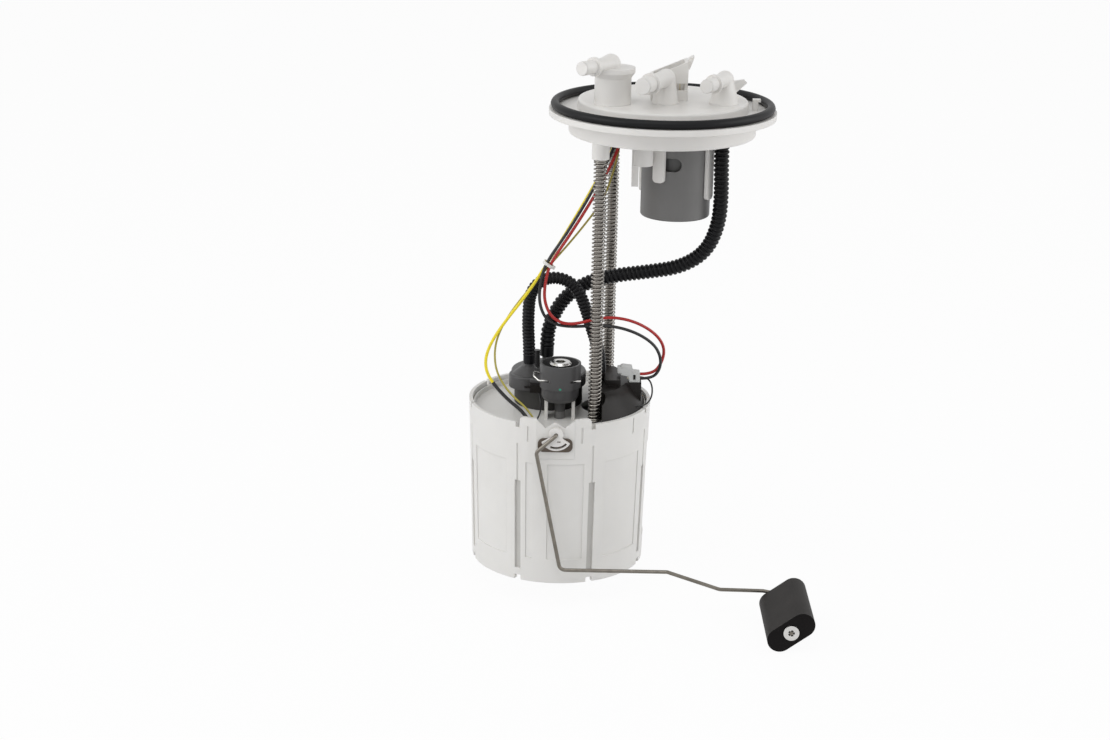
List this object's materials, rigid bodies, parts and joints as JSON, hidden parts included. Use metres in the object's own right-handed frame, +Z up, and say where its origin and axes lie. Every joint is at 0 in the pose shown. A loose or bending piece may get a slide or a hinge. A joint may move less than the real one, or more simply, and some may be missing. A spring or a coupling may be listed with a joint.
{
  "type": "fuel pump module",
  "caption": "In-tank fuel pump module: a flange with ports on two sprung rods, a sliding reservoir pot with pump, filter and regulator, and a level sender with a float.",
  "frame": {"origin": "centre of the flange's underside, on the plane where its rim rests on the tank", "axes": "+Z up out of the tank along the flange's axis, -Y towards the sender's side, +X from the pot towards the float"},
  "size_m": [0.2017, 0.1715, 0.3254],
  "materials": {
    "natural_white": "natural acetal, slightly glossy",
    "grey_plastic": "moulded satin",
    "dark_plastic": "moulded satin",
    "black_plastic": "moulded satin",
    "steel": "drawn",
    "spring_steel": "drawn wire",
    "zinc_steel": "bright zinc plate",
    "rubber": "matt",
    "hose_black": "satin",
    "nitrile": "foamed, matt",
    "brass": "tinned",
    "red_wire": "satin",
    "black_wire": "satin",
    "yellow_wire": "satin",
    "tan_wire": "satin",
    "magnet": "ground",
    "carbon": "matt",
    "ceramic": "glazed",
    "filter_paper": "pleated",
    "strainer_mesh": "woven"
  },
  "bodies": {
    "flange": {"flange": "natural_white", "flange_ports": "natural_white", "valve_cage": "natural_white", "flange_seal": "rubber", "connector_pins": "brass", "port_plugs": "natural_white", "harness_plug": "natural_white", "vent_valve_body": "grey_plastic", "vent_valve_cap": "grey_plastic", "vent_seal": "rubber", "vent_valve_spring": "spring_steel", "guide_rod_front": "steel", "guide_rod_rear": "steel", "spring_front": "spring_steel", "spring_rear": "spring_steel", "rod_retainers": "steel", "feed_hose": "hose_black", "wire_red": "red_wire", "wire_black": "black_wire", "wire_yellow": "yellow_wire", "wire_tan": "tan_wire", "cable_tie": "natural_white"},
    "reservoir": {"reservoir": "natural_white", "reservoir_lid": "natural_white", "rod_bushings": "natural_white", "pump_cover": "black_plastic", "pump_case": "steel", "pump_outlet_cap": "grey_plastic", "pump_inlet_cap": "grey_plastic", "motor_magnets": "magnet", "brushes": "carbon", "pump_isolator": "rubber", "strainer": "strainer_mesh", "jet_pump": "grey_plastic", "inlet_valve": "rubber", "filter_housing": "dark_plastic", "filter_lid": "dark_plastic", "filter_element": "filter_paper", "earth_clip": "black_plastic", "regulator_cup": "dark_plastic", "pressure_regulator": "zinc_steel", "regulator_seal": "rubber", "regulator_clip": "steel", "crossover_hose": "hose_black", "pump_plug": "natural_white", "plug_terminals": "brass", "ground_lead_filter": "black_wire", "ground_lead_plug": "black_wire", "sender_base": "natural_white", "resistor_card": "ceramic", "sender_terminals": "brass"},
    "pump_rotor": {"armature": "steel", "impeller": "grey_plastic"},
    "sender_arm": {"arm_carrier": "natural_white", "wiper": "brass", "float_arm": "steel", "push_nut": "zinc_steel"},
    "float": {"float": "nitrile"},
    "vent_float": {"vent_float": "black_plastic"}
  },
  "joints": [
    {"name": "reservoir_slide", "type": "slide", "parent": "flange", "child": "reservoir", "axis": [0, 0, 1], "range_m": [0, 0.03], "stiffness_N_per_m": 300, "springref_m": -0.03, "deforming": ["spring_front", "spring_rear", "feed_hose", "wire_red", "wire_black", "wire_yellow", "wire_tan", "cable_tie"]},
    {"name": "vent_float_slide", "type": "slide", "parent": "flange", "child": "vent_float", "axis": [0, 0, 1], "range_m": [0, 0.004], "deforming": ["vent_valve_spring"]},
    {"name": "pump_spin", "type": "hinge", "parent": "reservoir", "child": "pump_rotor", "pos_m": [-0.028, 0, -0.22], "axis": [0, 0, 1], "continuous": true},
    {"name": "sender_hinge", "type": "hinge", "parent": "reservoir", "child": "sender_arm", "pos_m": [-0.0578, -0.0526, -0.1766], "axis": [0, -1, 0], "range_deg": [0, 75]},
    {"name": "float_spin", "type": "hinge", "parent": "sender_arm", "child": "float", "pos_m": [0.0778, -0.0825, -0.2759], "axis": [0, 1, 0], "continuous": true}
  ]
}
